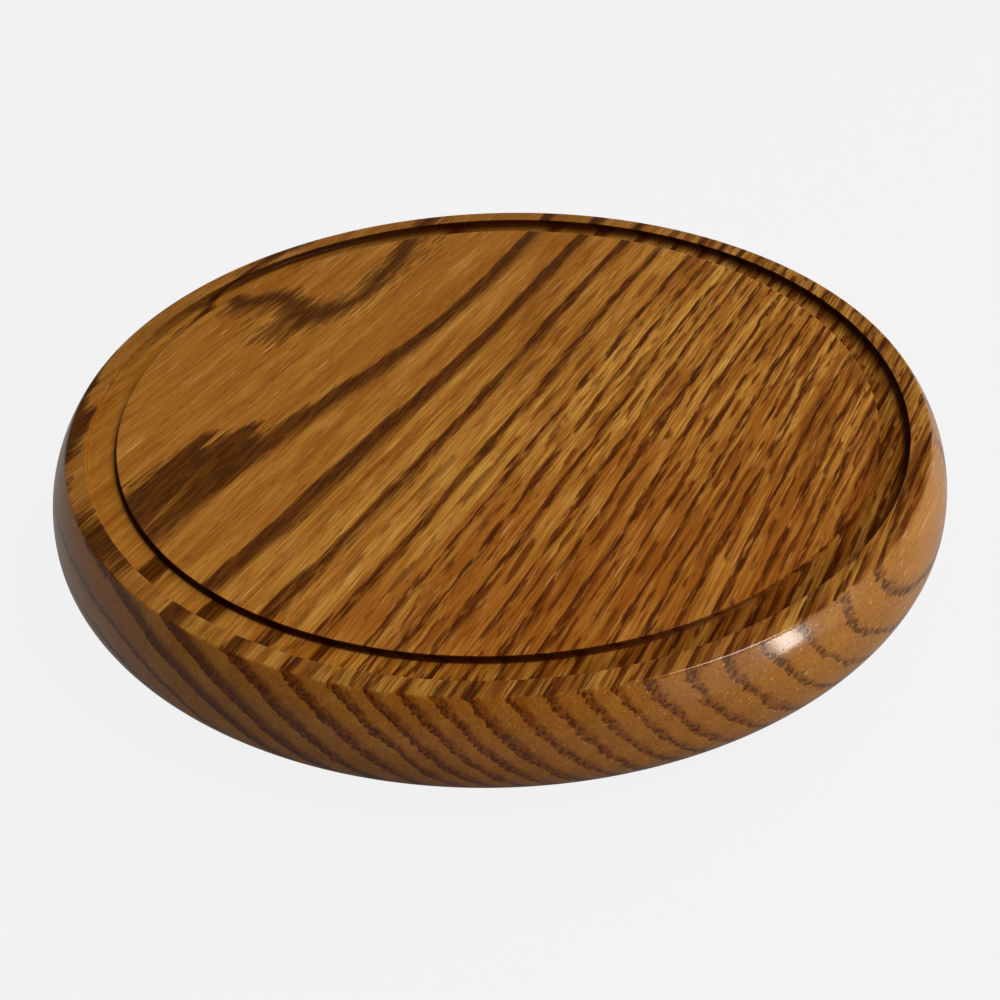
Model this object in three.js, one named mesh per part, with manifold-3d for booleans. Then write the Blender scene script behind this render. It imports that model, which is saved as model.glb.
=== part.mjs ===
// A round cheese board turned from one plank of red oak, on four screwed rubber feet.
// Millimetres, +Z up. The origin is the centre of the plane that the feet stand on.
import * as THREE from "three";
import { mergeVertices } from "three/addons/utils/BufferGeometryUtils.js";
import Module from "manifold-3d";

const wasm = await Module();
wasm.setup();

// Board
const BOARD_RADIUS = 115; // at the widest point of the swelled edge
const BOARD_THICKNESS = 27; // planed from a 32 mm rough plank
const EDGE_SWELL = 5.6; // how far the edge swells out past the rim's top corner
const SWELL_DEPTH = 16.1; // the edge is widest this far below the top face
const UNDERSIDE_REACH = 10.9; // how far the rounded underside draws in to the flat base
const RIM_WIDTH = 5.2; // flat ring between the groove and the rim's top corner
const GROOVE_WIDTH = 7.2; // takes the wall of a glass dome 201 mm across
const GROOVE_DEPTH = 1.6;
const GROOVE_FLOOR_RADIUS = 0.7; // left in both floor corners by the nose of the tool
const GROOVE_LIP_RADIUS = 0.35; // both top edges of the groove, eased by sanding
const RIM_CORNER_RADIUS = 0.8; // where the rim's flat turns over into the swelled edge

// Feet
const FOOT_COUNT = 4;
const FOOT_CIRCLE_RADIUS = 78;
const FOOT_HEIGHT = 5;
const FOOT_TOP_RADIUS = 8;
const FOOT_BOTTOM_RADIUS = 6.8;
const FOOT_TOE_RADIUS = 0.8; // rounding at the edge that stands on the table
const FOOT_WEB = 1.5; // rubber between the washer and the board
const FOOT_NAMES = ["back_right", "back_left", "front_left", "front_right"];

// Washers and screws
const WASHER_RADIUS = 4.2;
const WASHER_THICKNESS = 0.8;
const SCREW_SHANK_RADIUS = 1.5;
const SCREW_LENGTH = 12.7; // from under the head to the tip
const SCREW_POINT = 3.2; // tapered end of that length
const SCREW_HEAD_RADIUS = 3.3;
const SCREW_HEAD_HEIGHT = 1.7;
const SCREW_HEAD_RIM = 0.6; // height of the straight side under the pan head's dome
const RUNNING_GAP = 0.3; // round the shank and round the washer
const DRILL_POINT_ANGLE = 118;
const PILOT_SPARE_DEPTH = 1.2; // the pilot hole goes this much deeper than the screw's tip

// Facets
const BOARD_SIDES = 96;
const FOOT_SIDES = 32;
const SCREW_SIDES = 24;
const EDGE_STEPS = 9;
const CORNER_STEPS = 3;

// Heights of the faces that the pieces share
const BASE_Z = FOOT_HEIGHT;
const TOP_Z = BASE_Z + BOARD_THICKNESS;
const WASHER_TOP_Z = BASE_Z - FOOT_WEB;
const WASHER_BOTTOM_Z = WASHER_TOP_Z - WASHER_THICKNESS;
const SCREW_TIP_Z = WASHER_BOTTOM_Z + SCREW_LENGTH;
const HOLE_RADIUS = SCREW_SHANK_RADIUS + RUNNING_GAP;

const OAK = new THREE.MeshStandardMaterial({ name: "oak", color: 0x97601f, roughness: 0.3, metalness: 0 });
const RUBBER = new THREE.MeshStandardMaterial({ name: "rubber", color: 0x1d1c1b, roughness: 0.8, metalness: 0 });
const STEEL = new THREE.MeshStandardMaterial({ name: "steel", color: 0xb4b6b8, roughness: 0.35, metalness: 1 });

// Points on part of an ellipse in the radius-height plane, angles in degrees from the +radius direction.
function arc(centreR, centreZ, radiusR, radiusZ, from, to, steps) {
  return Array.from({ length: steps + 1 }, (_, i) => {
    const angle = THREE.MathUtils.degToRad(from + ((to - from) * i) / steps);
    return new THREE.Vector2(centreR + radiusR * Math.cos(angle), centreZ + radiusZ * Math.sin(angle));
  });
}

function point(r, z) {
  return new THREE.Vector2(r, z);
}

// A profile in radius and height, turned about +Z.
function turn(profile, sides) {
  return new THREE.LatheGeometry(profile, sides).rotateX(Math.PI / 2);
}

function solidOf(geometry) {
  const bare = geometry.clone().deleteAttribute("normal").deleteAttribute("uv");
  const merged = mergeVertices(bare, 1e-4);
  return new wasm.Manifold(
    new wasm.Mesh({
      numProp: 3,
      vertProperties: merged.getAttribute("position").array,
      triVerts: new Uint32Array(merged.index.array),
    }),
  );
}

function geometryOf(solid) {
  const mesh = solid.getMesh();
  const geometry = new THREE.BufferGeometry();
  geometry.setAttribute("position", new THREE.BufferAttribute(mesh.vertProperties, mesh.numProp));
  geometry.setIndex(new THREE.BufferAttribute(mesh.triVerts, 1));
  geometry.computeVertexNormals();
  return geometry;
}

function piece(name, geometry, material) {
  const mesh = new THREE.Mesh(geometry, material);
  mesh.name = name;
  return mesh;
}

// The swelled edge is one arc that stands upright at the widest point and meets the rim's flat at a corner.
// The corner's own small round touches both the flat and that arc.
function swelledEdge() {
  const arcRadius = (SWELL_DEPTH ** 2 + EDGE_SWELL ** 2) / (2 * EDGE_SWELL);
  const centreR = BOARD_RADIUS - arcRadius;
  const centreZ = TOP_Z - SWELL_DEPTH;
  const cornerZ = TOP_Z - RIM_CORNER_RADIUS;
  const rise = cornerZ - centreZ;
  const cornerR = centreR + Math.sqrt((arcRadius - RIM_CORNER_RADIUS) ** 2 - rise ** 2);
  const meeting = THREE.MathUtils.radToDeg(Math.atan2(rise, cornerR - centreR));
  return [
    ...arc(centreR, centreZ, arcRadius, arcRadius, 0, meeting, EDGE_STEPS),
    ...arc(cornerR, cornerZ, RIM_CORNER_RADIUS, RIM_CORNER_RADIUS, meeting, 90, CORNER_STEPS).slice(1),
  ];
}

// The groove's two walls stand upright, with a rounded lip above and a rounded floor corner below.
function groove() {
  const outerR = BOARD_RADIUS - EDGE_SWELL - RIM_WIDTH;
  const innerR = outerR - GROOVE_WIDTH;
  const floorZ = TOP_Z - GROOVE_DEPTH;
  const lip = Math.min(GROOVE_LIP_RADIUS, GROOVE_DEPTH / 3);
  const floor = Math.min(GROOVE_FLOOR_RADIUS, GROOVE_DEPTH / 2, GROOVE_WIDTH / 3);
  return [
    ...arc(outerR + lip, TOP_Z - lip, lip, lip, 90, 180, CORNER_STEPS),
    ...arc(outerR - floor, floorZ + floor, floor, floor, 0, -90, CORNER_STEPS),
    ...arc(innerR + floor, floorZ + floor, floor, floor, -90, -180, CORNER_STEPS),
    ...arc(innerR - lip, TOP_Z - lip, lip, lip, 0, 90, CORNER_STEPS),
  ];
}

function boardProfile() {
  const widestZ = TOP_Z - SWELL_DEPTH;
  const underside = arc(
    BOARD_RADIUS - UNDERSIDE_REACH,
    widestZ,
    UNDERSIDE_REACH,
    widestZ - BASE_Z,
    -90,
    0,
    EDGE_STEPS,
  );
  return [point(0, BASE_Z), ...underside, ...swelledEdge().slice(1), ...groove(), point(0, TOP_Z)];
}

// A blind hole drilled up from the base, with the drill's conical end.
function pilotHole() {
  const shoulderZ = SCREW_TIP_Z + PILOT_SPARE_DEPTH;
  const cone = HOLE_RADIUS / Math.tan(THREE.MathUtils.degToRad(DRILL_POINT_ANGLE / 2));
  const below = BASE_Z - 1;
  return turn(
    [point(0, below), point(HOLE_RADIUS, below), point(HOLE_RADIUS, shoulderZ), point(0, shoulderZ + cone)],
    SCREW_SIDES,
  );
}

function footPlace(index) {
  const angle = ((index + 0.5) / FOOT_COUNT) * 2 * Math.PI;
  return [FOOT_CIRCLE_RADIUS * Math.cos(angle), FOOT_CIRCLE_RADIUS * Math.sin(angle)];
}

function board() {
  let solid = solidOf(turn(boardProfile(), BOARD_SIDES));
  for (let i = 0; i < FOOT_COUNT; i++) {
    const [x, y] = footPlace(i);
    solid = solid.subtract(solidOf(pilotHole().translate(x, y, 0)));
  }
  return piece("board", geometryOf(solid), OAK);
}

// A rubber bumper, wider where it meets the board, with a pocket below for the washer and the screw's head.
function footGeometry() {
  const pocketR = WASHER_RADIUS + RUNNING_GAP;
  const toe = arc(
    FOOT_BOTTOM_RADIUS - FOOT_TOE_RADIUS,
    FOOT_TOE_RADIUS,
    FOOT_TOE_RADIUS,
    FOOT_TOE_RADIUS,
    -90,
    0,
    CORNER_STEPS,
  );
  return turn(
    [
      point(pocketR, WASHER_TOP_Z),
      point(pocketR, 0),
      ...toe,
      point(FOOT_TOP_RADIUS, BASE_Z),
      point(HOLE_RADIUS, BASE_Z),
      point(HOLE_RADIUS, WASHER_TOP_Z),
      point(pocketR, WASHER_TOP_Z),
    ],
    FOOT_SIDES,
  );
}

function washerGeometry() {
  return turn(
    [
      point(HOLE_RADIUS, WASHER_BOTTOM_Z),
      point(WASHER_RADIUS, WASHER_BOTTOM_Z),
      point(WASHER_RADIUS, WASHER_TOP_Z),
      point(HOLE_RADIUS, WASHER_TOP_Z),
      point(HOLE_RADIUS, WASHER_BOTTOM_Z),
    ],
    FOOT_SIDES,
  );
}

// A pan head, a plain shank and a tapered point, driven upwards into the board.
function screwGeometry() {
  const rimZ = WASHER_BOTTOM_Z - SCREW_HEAD_RIM;
  const dome = arc(0, rimZ, SCREW_HEAD_RADIUS, SCREW_HEAD_HEIGHT - SCREW_HEAD_RIM, -90, 0, 2 * CORNER_STEPS);
  dome[0].x = 0;
  return turn(
    [
      ...dome,
      point(SCREW_HEAD_RADIUS, WASHER_BOTTOM_Z),
      point(SCREW_SHANK_RADIUS, WASHER_BOTTOM_Z),
      point(SCREW_SHANK_RADIUS, SCREW_TIP_Z - SCREW_POINT),
      point(0, SCREW_TIP_Z),
    ],
    SCREW_SIDES,
  );
}

function feet() {
  const group = new THREE.Group();
  FOOT_NAMES.slice(0, FOOT_COUNT).forEach((name, i) => {
    const [x, y] = footPlace(i);
    const corner = new THREE.Group();
    corner.position.set(x, y, 0);
    corner.add(piece(`foot_${name}`, footGeometry(), RUBBER));
    corner.add(piece(`foot_washer_${name}`, washerGeometry(), STEEL));
    corner.add(piece(`foot_screw_${name}`, screwGeometry(), STEEL));
    group.add(corner);
  });
  return group;
}

const cheeseBoard = new THREE.Group();
cheeseBoard.add(board(), feet());

export default cheeseBoard;
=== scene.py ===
"""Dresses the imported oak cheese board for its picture: turned board, rubber feet, washers and screws."""

import logging
import math
from dataclasses import dataclass, field
from enum import Enum

import bmesh
import bpy
from mathutils import Matrix, Vector

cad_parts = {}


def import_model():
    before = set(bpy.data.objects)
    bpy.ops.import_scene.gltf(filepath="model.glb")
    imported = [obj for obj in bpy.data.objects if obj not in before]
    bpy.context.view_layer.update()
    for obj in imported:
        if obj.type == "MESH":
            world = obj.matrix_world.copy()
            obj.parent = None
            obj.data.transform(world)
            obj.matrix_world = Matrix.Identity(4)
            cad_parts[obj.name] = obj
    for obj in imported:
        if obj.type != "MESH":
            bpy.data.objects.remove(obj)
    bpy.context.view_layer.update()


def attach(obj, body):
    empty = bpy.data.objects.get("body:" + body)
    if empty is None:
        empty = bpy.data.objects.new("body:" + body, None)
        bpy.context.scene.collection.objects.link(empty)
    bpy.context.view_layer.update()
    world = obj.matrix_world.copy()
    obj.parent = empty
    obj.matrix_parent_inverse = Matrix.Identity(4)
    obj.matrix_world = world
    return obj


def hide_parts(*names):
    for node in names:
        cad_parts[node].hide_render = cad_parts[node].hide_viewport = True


MM = 0.001
BODY = "root"
Z_AXIS = (0.0, 0.0, 1.0)

log = logging.getLogger("cheese_board")


class Slot(Enum):
    """The record's material slots."""

    OAK = "oak"
    RUBBER = "rubber"
    STEEL = "steel"


class Corner(Enum):
    """The four feet, by the quarter of the base that each one stands in."""

    BACK_RIGHT = "back_right"
    BACK_LEFT = "back_left"
    FRONT_LEFT = "front_left"
    FRONT_RIGHT = "front_right"


def linear(hex_colour: str) -> tuple[float, float, float, float]:
    """Turns an sRGB colour into the linear one that a shader takes.

    Args:
        hex_colour: Six hexadecimal digits, such as "8c581e".

    Returns:
        Red, green and blue in linear light, and an alpha of 1.
    """
    channels = [int(hex_colour[i : i + 2], 16) / 255 for i in (0, 2, 4)]
    curved = [c / 12.92 if c <= 0.04045 else ((c + 0.055) / 1.055) ** 2.4 for c in channels]
    return (curved[0], curved[1], curved[2], 1.0)


def add_node(
    tree: bpy.types.NodeTree,
    kind: str,
    settings: dict | None = None,
    links: dict | None = None,
) -> bpy.types.Node:
    """Adds a node to a tree, with its settings and what feeds it.

    Args:
        tree: The node tree that the node joins.
        kind: The node's type, such as "ShaderNodeMath".
        settings: Values by property name, or by socket name or number.
        links: Output sockets by the name or number of the input that they feed.

    Returns:
        The new node.
    """
    node = tree.nodes.new(kind)
    for name, value in (settings or {}).items():
        if isinstance(name, int) or name in node.inputs:
            node.inputs[name].default_value = value
        else:
            setattr(node, name, value)
    for name, source in (links or {}).items():
        tree.links.new(source, node.inputs[name])
    return node


def new_material(name: str) -> bpy.types.Material:
    """Makes an empty node material.

    Args:
        name: The finish's own name.

    Returns:
        A material with no nodes.
    """
    material = bpy.data.materials.new(name)
    material.use_nodes = True
    material.node_tree.nodes.clear()
    return material


def finished_object(name: str, mesh: bmesh.types.BMesh, crease_deg: float) -> bpy.types.Object:
    """Makes an object of a bmesh, with its faces outwards and smooth up to a crease angle.

    Args:
        name: The object's name.
        mesh: The shape, in metres, in the part's frame. It is freed.
        crease_deg: Edges that turn more than this stay sharp.

    Returns:
        The object, linked to the scene at the origin.
    """
    bmesh.ops.remove_doubles(mesh, verts=mesh.verts, dist=1e-6)
    bmesh.ops.recalc_face_normals(mesh, faces=mesh.faces)
    data = bpy.data.meshes.new(name)
    mesh.to_mesh(data)
    mesh.free()
    data.shade_smooth()
    data.set_sharp_from_angle(angle=math.radians(crease_deg))
    piece = bpy.data.objects.new(name, data)
    bpy.context.scene.collection.objects.link(piece)
    return piece


def carve(piece: bpy.types.Object, cutter: bpy.types.Object, crease_deg: float) -> None:
    """Takes a cutter's shape out of a piece for good, and removes the cutter.

    Args:
        piece: The object that is cut.
        cutter: The object whose space is taken away.
        crease_deg: Edges that turn more than this are sharp afterwards.
    """
    cut = piece.modifiers.new("cut", "BOOLEAN")
    cut.operation = "DIFFERENCE"
    cut.solver = "EXACT"
    cut.object = cutter
    bpy.context.view_layer.update()
    evaluated = piece.evaluated_get(bpy.context.evaluated_depsgraph_get())
    data = bpy.data.meshes.new_from_object(evaluated)
    old = piece.data
    piece.modifiers.clear()
    piece.data = data
    data.name = piece.name
    bpy.data.meshes.remove(old)
    bpy.data.objects.remove(cutter)
    data.shade_smooth()
    data.set_sharp_from_angle(angle=math.radians(crease_deg))


@dataclass
class Outline:
    """Half of a turned shape's section, drawn as a chain of vertices in the plane of x and z."""

    start: tuple[float, float]
    mesh: bmesh.types.BMesh = field(default_factory=bmesh.new)
    end: bmesh.types.BMVert | None = None

    def __post_init__(self) -> None:
        """Places the first vertex."""
        self.end = self.mesh.verts.new((self.start[0] * MM, 0, self.start[1] * MM))

    def line(self, radius: float, height: float) -> bmesh.types.BMVert:
        """Draws a straight edge.

        Args:
            radius: Distance of its end from the axis, in mm.
            height: Height of its end, in mm.

        Returns:
            The vertex at its end.
        """
        vert = self.mesh.verts.new((radius * MM, 0, height * MM))
        self.mesh.edges.new((self.end, vert))
        self.end = vert
        return vert

    def arc(self, centre: tuple[float, float], angle_deg: float, steps: int) -> bmesh.types.BMVert:
        """Draws an arc from the last vertex.

        Args:
            centre: Radius and height of the arc's centre, in mm.
            angle_deg: How far it turns, counted from +x to +z.
            steps: How many straight edges it has.

        Returns:
            The vertex at its end.
        """
        swept = bmesh.ops.spin(
            self.mesh,
            geom=[self.end],
            cent=(centre[0] * MM, 0, centre[1] * MM),
            axis=(0, -1, 0),
            angle=math.radians(angle_deg),
            steps=steps,
        )
        self.end = next(v for v in swept["geom_last"] if isinstance(v, bmesh.types.BMVert))
        return self.end

    def close(self, first: bmesh.types.BMVert) -> None:
        """Joins the last vertex to the first one."""
        self.mesh.edges.new((self.end, first))

    def round(self, corners: dict, segments: int) -> None:
        """Rounds corners of the chain.

        Args:
            corners: By vertex, how far from the corner the round starts, in mm.
            segments: How many straight edges each round has.
        """
        for vert, reach in corners.items():
            bmesh.ops.bevel(
                self.mesh,
                geom=[vert],
                offset=reach * MM,
                offset_type="OFFSET",
                affect="VERTICES",
                segments=segments,
                profile=0.5,
                material=-1,
            )

    def turn(self, sides: int) -> bmesh.types.BMesh:
        """Turns the section about the z axis.

        Args:
            sides: How many steps a full turn has.

        Returns:
            The turned solid.
        """
        bmesh.ops.spin(
            self.mesh,
            geom=self.mesh.verts[:] + self.mesh.edges[:],
            cent=(0, 0, 0),
            axis=Z_AXIS,
            angle=2 * math.pi,
            steps=sides,
            use_merge=True,
        )
        return self.mesh


@dataclass(frozen=True)
class StainedOak:
    """Red oak, flat-sawn, turned, stained golden brown and varnished.

    It is one solid texture, so the rings that run over the top also cross the groove and the end grain.
    The rings are round a pith line that lies below the board and bows a little, with a few local swellings.
    Lengths are in mm: s is across the grain, t along it and z is height over the top face.
    """

    grain_turn_deg: float = 32.0
    top_height: float = 32.0
    pith_across: float = -75.5
    pith_depth: float = 126.0
    depth_slopes: tuple[float, float, float] = (-5.39, 2.70, 2.05)
    lean_slopes: tuple[float, float, float] = (16.6, -3.74, -4.55)
    # Middle, reach and height of each local swelling of the rings, which make the looped figure on the left
    swellings: tuple[tuple[float, ...], ...] = (
        (-81, 9, 14, 14, 18, 0.35),
        (-96, 26, 14, 27, 95, -1.3),
        (-46, -30, 50, 70, 18, 1.4),
        (-101, -6, 14, 62, 32, -1.0),
        (-54, -79, 14, 70, 18, 0.7),
        (-65, 74, 16, 27, 18, 0.85),
        (-66, 27, 12, 22, 18, -0.6),
        (-90, 8, 8, 16, 18, -0.5),
        (-61, -50, 20, 42, 18, 1.15),
        (-41, -73, 16, 30, 18, 0.35),
        (-69, 1, 13, 24, 18, -0.65),
    )
    # Distance from the pith at which each year's ring starts
    ring_edges: tuple[float, ...] = (
        99.0, 105.2, 111.4, 117.7, 124.9, 131.8, 137.5, 143.7, 149.9, 155.6, 159.6, 163.7, 167.8,
        171.9, 176.9, 181.2, 185.6, 189.5, 193.2, 197.8, 202.6, 207.6, 211.9, 216.2, 220.6, 225.0,
    )
    # How much of a year's ring its dark spring wood takes, by distance from the pith
    band_shares: tuple[tuple[float, float], ...] = (
        (99.0, 0.16), (118.0, 0.16), (125.0, 0.12), (132.0, 0.24),
        (138.0, 0.3), (145.0, 0.24), (160.0, 0.27), (225.0, 0.3),
    )
    # Size across and along the grain of each wave of the rings, and its height at the left and at the right
    waves: tuple[tuple[float, float, float, float], ...] = (
        (11.0, 55.0, 0.5, 1.6),
        (2.2, 30.0, 0.35, 1.5),
        (0.8, 13.0, 0.3, 1.3),
    )
    fibre_lean: float = 0.075
    fibre_fan: float = 0.0003
    fibre_dive: float = 0.03
    groove_inner: float = 97.0
    groove_outer: float = 104.2
    groove_floor: float = -1.6
    reddest_spot: tuple[float, float, float] = (82.0, -58.0, 0.0)
    shaded: str = "744212"
    golden: str = "99611f"
    pale: str = "c3913f"
    reddish: str = "8b4a0f"
    bloom: str = "ce9c66"
    earlywood: str = "502907"
    red_earlywood: str = "5a2905"
    vessel: str = "301504"
    # Colour of the staining pooled in the groove, and of the shade painted there
    stain_and_shade: str = "230602"

    def build(self) -> bpy.types.Material:
        """Makes the material.

        Returns:
            The stained and varnished oak.
        """
        # Stained red oak under gloss varnish: dark rows of open pores in a golden ground, under a clear shine
        material = new_material("varnished_golden_oak")
        tree = material.node_tree
        grain = self.grain_space(tree)
        fibre = self.fibre_space(tree, grain)
        right = self.right_share(tree, grain)
        outward = self.from_axis(tree, grain)
        square = self.end_grain(tree)
        plain = self.plain_share(tree, outward, square)
        radius = self.ring_radius(tree, grain, fibre, right)
        ring = self.ring_share(tree, radius)
        band = self.spring_band(tree, radius, ring, fibre, right, plain)
        vessels = self.vessels(tree, fibre, ring)
        groove = self.groove_share(tree, grain, outward)
        colour = self.colour(tree, grain, fibre, ring, band, vessels, square, plain, right, outward)
        # The groove gets pooled staining and painted shade
        stained = self.groove_stain_and_shade(tree, grain, band, outward, groove, colour)
        self.surface(tree, stained, band, vessels, fibre, groove)
        return material

    def grain_space(self, tree: bpy.types.NodeTree) -> bpy.types.NodeSocket:
        """Turns object coordinates into mm across the grain, along it and over the top face.

        Args:
            tree: The material's node tree.

        Returns:
            The vector (s, t, z).
        """
        coordinates = add_node(tree, "ShaderNodeTexCoord")
        mapping = add_node(
            tree,
            "ShaderNodeMapping",
            {
                "Scale": (1 / MM, 1 / MM, 1 / MM),
                "Rotation": (0, 0, math.radians(self.grain_turn_deg)),
                "Location": (0, 0, -self.top_height),
            },
            {"Vector": coordinates.outputs["Object"]},
        )
        return mapping.outputs["Vector"]

    def fibre_space(self, tree: bpy.types.NodeTree, grain: bpy.types.NodeSocket) -> bpy.types.NodeSocket:
        """Leans the grain space so that its second axis follows the fibres, which fan out and dive.

        Args:
            tree: The material's node tree.
            grain: The vector (s, t, z).

        Returns:
            The vector across, along and under the fibres.
        """
        axes = add_node(tree, "ShaderNodeSeparateXYZ", links={0: grain})
        lean = add_node(
            tree,
            "ShaderNodeMath",
            {"operation": "MULTIPLY_ADD", 1: self.fibre_fan, 2: self.fibre_lean},
            {0: axes.outputs["X"]},
        )
        across = add_node(
            tree,
            "ShaderNodeMath",
            {"operation": "MULTIPLY_ADD"},
            {0: lean.outputs[0], 1: axes.outputs["Y"], 2: axes.outputs["X"]},
        )
        under = add_node(
            tree,
            "ShaderNodeMath",
            {"operation": "MULTIPLY_ADD", 1: self.fibre_dive},
            {0: axes.outputs["Y"], 2: axes.outputs["Z"]},
        )
        leaned = add_node(
            tree,
            "ShaderNodeCombineXYZ",
            links={"X": across.outputs[0], "Y": axes.outputs["Y"], "Z": under.outputs[0]},
        )
        return leaned.outputs[0]

    def stretched_noise(
        self,
        tree: bpy.types.NodeTree,
        fibre: bpy.types.NodeSocket,
        across_mm: float,
        along_mm: float,
        detail: float,
        shift: float = 0.0,
    ) -> bpy.types.NodeSocket:
        """Gives noise that is long with the grain.

        Args:
            tree: The material's node tree.
            fibre: The vector along the fibres.
            across_mm: The noise's size across the grain.
            along_mm: Its size along the grain.
            detail: How many finer octaves it has.
            shift: Moves the pattern, so that two noises of one size differ.

        Returns:
            The noise, centred on zero.
        """
        scaled = add_node(
            tree,
            "ShaderNodeMapping",
            {"Scale": (1 / across_mm, 1 / along_mm, 1 / across_mm), "Location": (shift, shift, shift)},
            {"Vector": fibre},
        )
        noise = add_node(
            tree,
            "ShaderNodeTexNoise",
            {"Scale": 1.0, "Detail": detail, "Roughness": 0.5},
            {"Vector": scaled.outputs["Vector"]},
        )
        centred = add_node(
            tree, "ShaderNodeMath", {"operation": "SUBTRACT", 1: 0.5}, {0: noise.outputs["Fac"]}
        )
        return centred.outputs[0]

    def slope_curve(
        self, tree: bpy.types.NodeTree, along: bpy.types.NodeSocket, slopes: tuple[float, float, float]
    ) -> bpy.types.NodeSocket:
        """Gives first, second and third powers of a length, each times its slope.

        Args:
            tree: The material's node tree.
            along: The length.
            slopes: Factors of the three powers.

        Returns:
            The sum of the three.
        """
        first, second, third = slopes
        inner = add_node(
            tree, "ShaderNodeMath", {"operation": "MULTIPLY_ADD", 1: third, 2: second}, {0: along}
        )
        middle = add_node(
            tree, "ShaderNodeMath", {"operation": "MULTIPLY_ADD", 2: first}, {0: inner.outputs[0], 1: along}
        )
        outer = add_node(
            tree, "ShaderNodeMath", {"operation": "MULTIPLY"}, {0: middle.outputs[0], 1: along}
        )
        return outer.outputs[0]

    def ring_radius(
        self,
        tree: bpy.types.NodeTree,
        grain: bpy.types.NodeSocket,
        fibre: bpy.types.NodeSocket,
        right: bpy.types.NodeSocket,
    ) -> bpy.types.NodeSocket:
        """Gives the distance from the pith line, with the swellings and small waves that real rings have.

        Args:
            tree: The material's node tree.
            grain: The vector (s, t, z).
            fibre: The vector along the fibres.
            right: How steeply the rings are cut.

        Returns:
            The distance in mm.
        """
        axes = add_node(tree, "ShaderNodeSeparateXYZ", links={0: grain})
        along = add_node(tree, "ShaderNodeMath", {"operation": "DIVIDE", 1: 100.0}, {0: axes.outputs["Y"]})
        sunk = self.slope_curve(tree, along.outputs[0], self.depth_slopes)
        leaned = self.slope_curve(tree, along.outputs[0], self.lean_slopes)
        level = add_node(
            tree, "ShaderNodeMath", {"operation": "ADD", 1: self.pith_depth}, {0: axes.outputs["Z"]}
        )
        height = add_node(tree, "ShaderNodeMath", {"operation": "ADD"}, {0: level.outputs[0], 1: sunk})
        offset = add_node(
            tree, "ShaderNodeMath", {"operation": "SUBTRACT", 1: self.pith_across}, {0: axes.outputs["X"]}
        )
        across = add_node(tree, "ShaderNodeMath", {"operation": "ADD"}, {0: offset.outputs[0], 1: leaned})
        from_pith = add_node(
            tree, "ShaderNodeCombineXYZ", links={"X": across.outputs[0], "Y": height.outputs[0]}
        )
        distance = add_node(
            tree, "ShaderNodeVectorMath", {"operation": "LENGTH"}, {0: from_pith.outputs[0]}
        )
        radius = distance.outputs["Value"]
        for s, t, reach_s, reach_t, reach_z, rise in self.swellings:
            placed = add_node(
                tree,
                "ShaderNodeMapping",
                {
                    "Scale": (1 / reach_s, 1 / reach_t, 1 / reach_z),
                    "Location": (-s / reach_s, -t / reach_t, 0),
                },
                {"Vector": grain},
            )
            away = add_node(tree, "ShaderNodeVectorMath", {"operation": "LENGTH"}, {0: placed.outputs[0]})
            bulge = add_node(
                tree,
                "ShaderNodeMapRange",
                {"interpolation_type": "SMOOTHSTEP", "To Min": rise, "To Max": 0.0},
                {"Value": away.outputs["Value"]},
            )
            raised = add_node(
                tree, "ShaderNodeMath", {"operation": "ADD"}, {0: radius, 1: bulge.outputs["Result"]}
            )
            radius = raised.outputs[0]

        # Slow waves of a few centimetres, and the fine steps at which single vessels leave a ring's edge
        for across_mm, along_mm, left_size, right_size in self.waves:
            wave = self.stretched_noise(tree, fibre, across_mm, along_mm, 1)
            size = add_node(
                tree, "ShaderNodeMapRange", {"To Min": left_size, "To Max": right_size}, {"Value": right}
            )
            waved = add_node(
                tree,
                "ShaderNodeMath",
                {"operation": "MULTIPLY_ADD"},
                {0: wave, 1: size.outputs["Result"], 2: radius},
            )
            radius = waved.outputs[0]
        return self.stepped(tree, axes.outputs["Y"], fibre, right, radius)

    def stepped(
        self,
        tree: bpy.types.NodeTree,
        along: bpy.types.NodeSocket,
        fibre: bpy.types.NodeSocket,
        right: bpy.types.NodeSocket,
        radius: bpy.types.NodeSocket,
    ) -> bpy.types.NodeSocket:
        """Shifts the rings by bundles of fibres, so that a flat band ends in long steps at the front left.

        Args:
            tree: The material's node tree.
            along: Length along the grain.
            fibre: The vector along the fibres.
            right: How steeply the rings are cut.
            radius: Distance from the pith line in mm.

        Returns:
            The stepped distance in mm.
        """
        scaled = add_node(
            tree, "ShaderNodeMapping", {"Scale": (1 / 2.8, 1 / 60, 1 / 12)}, {"Vector": fibre}
        )
        bundles = add_node(
            tree,
            "ShaderNodeTexVoronoi",
            {"Scale": 1.0, "Randomness": 0.8},
            {"Vector": scaled.outputs["Vector"]},
        )
        shades = add_node(tree, "ShaderNodeSeparateColor", links={0: bundles.outputs["Color"]})
        centred = add_node(
            tree, "ShaderNodeMath", {"operation": "SUBTRACT", 1: 0.5}, {0: shades.outputs[0]}
        )
        front = add_node(
            tree,
            "ShaderNodeMapRange",
            {
                "interpolation_type": "SMOOTHSTEP",
                "From Min": -20.0,
                "From Max": -50.0,
                "To Min": 0.15,
                "To Max": 0.75,
            },
            {"Value": along},
        )
        size = add_node(
            tree,
            "ShaderNodeMapRange",
            {"From Max": 0.5, "To Max": 0.0},
            {"Value": right, "To Min": front.outputs["Result"]},
        )
        shifted = add_node(
            tree,
            "ShaderNodeMath",
            {"operation": "MULTIPLY_ADD"},
            {0: centred.outputs[0], 1: size.outputs["Result"], 2: radius},
        )
        return shifted.outputs[0]

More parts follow.
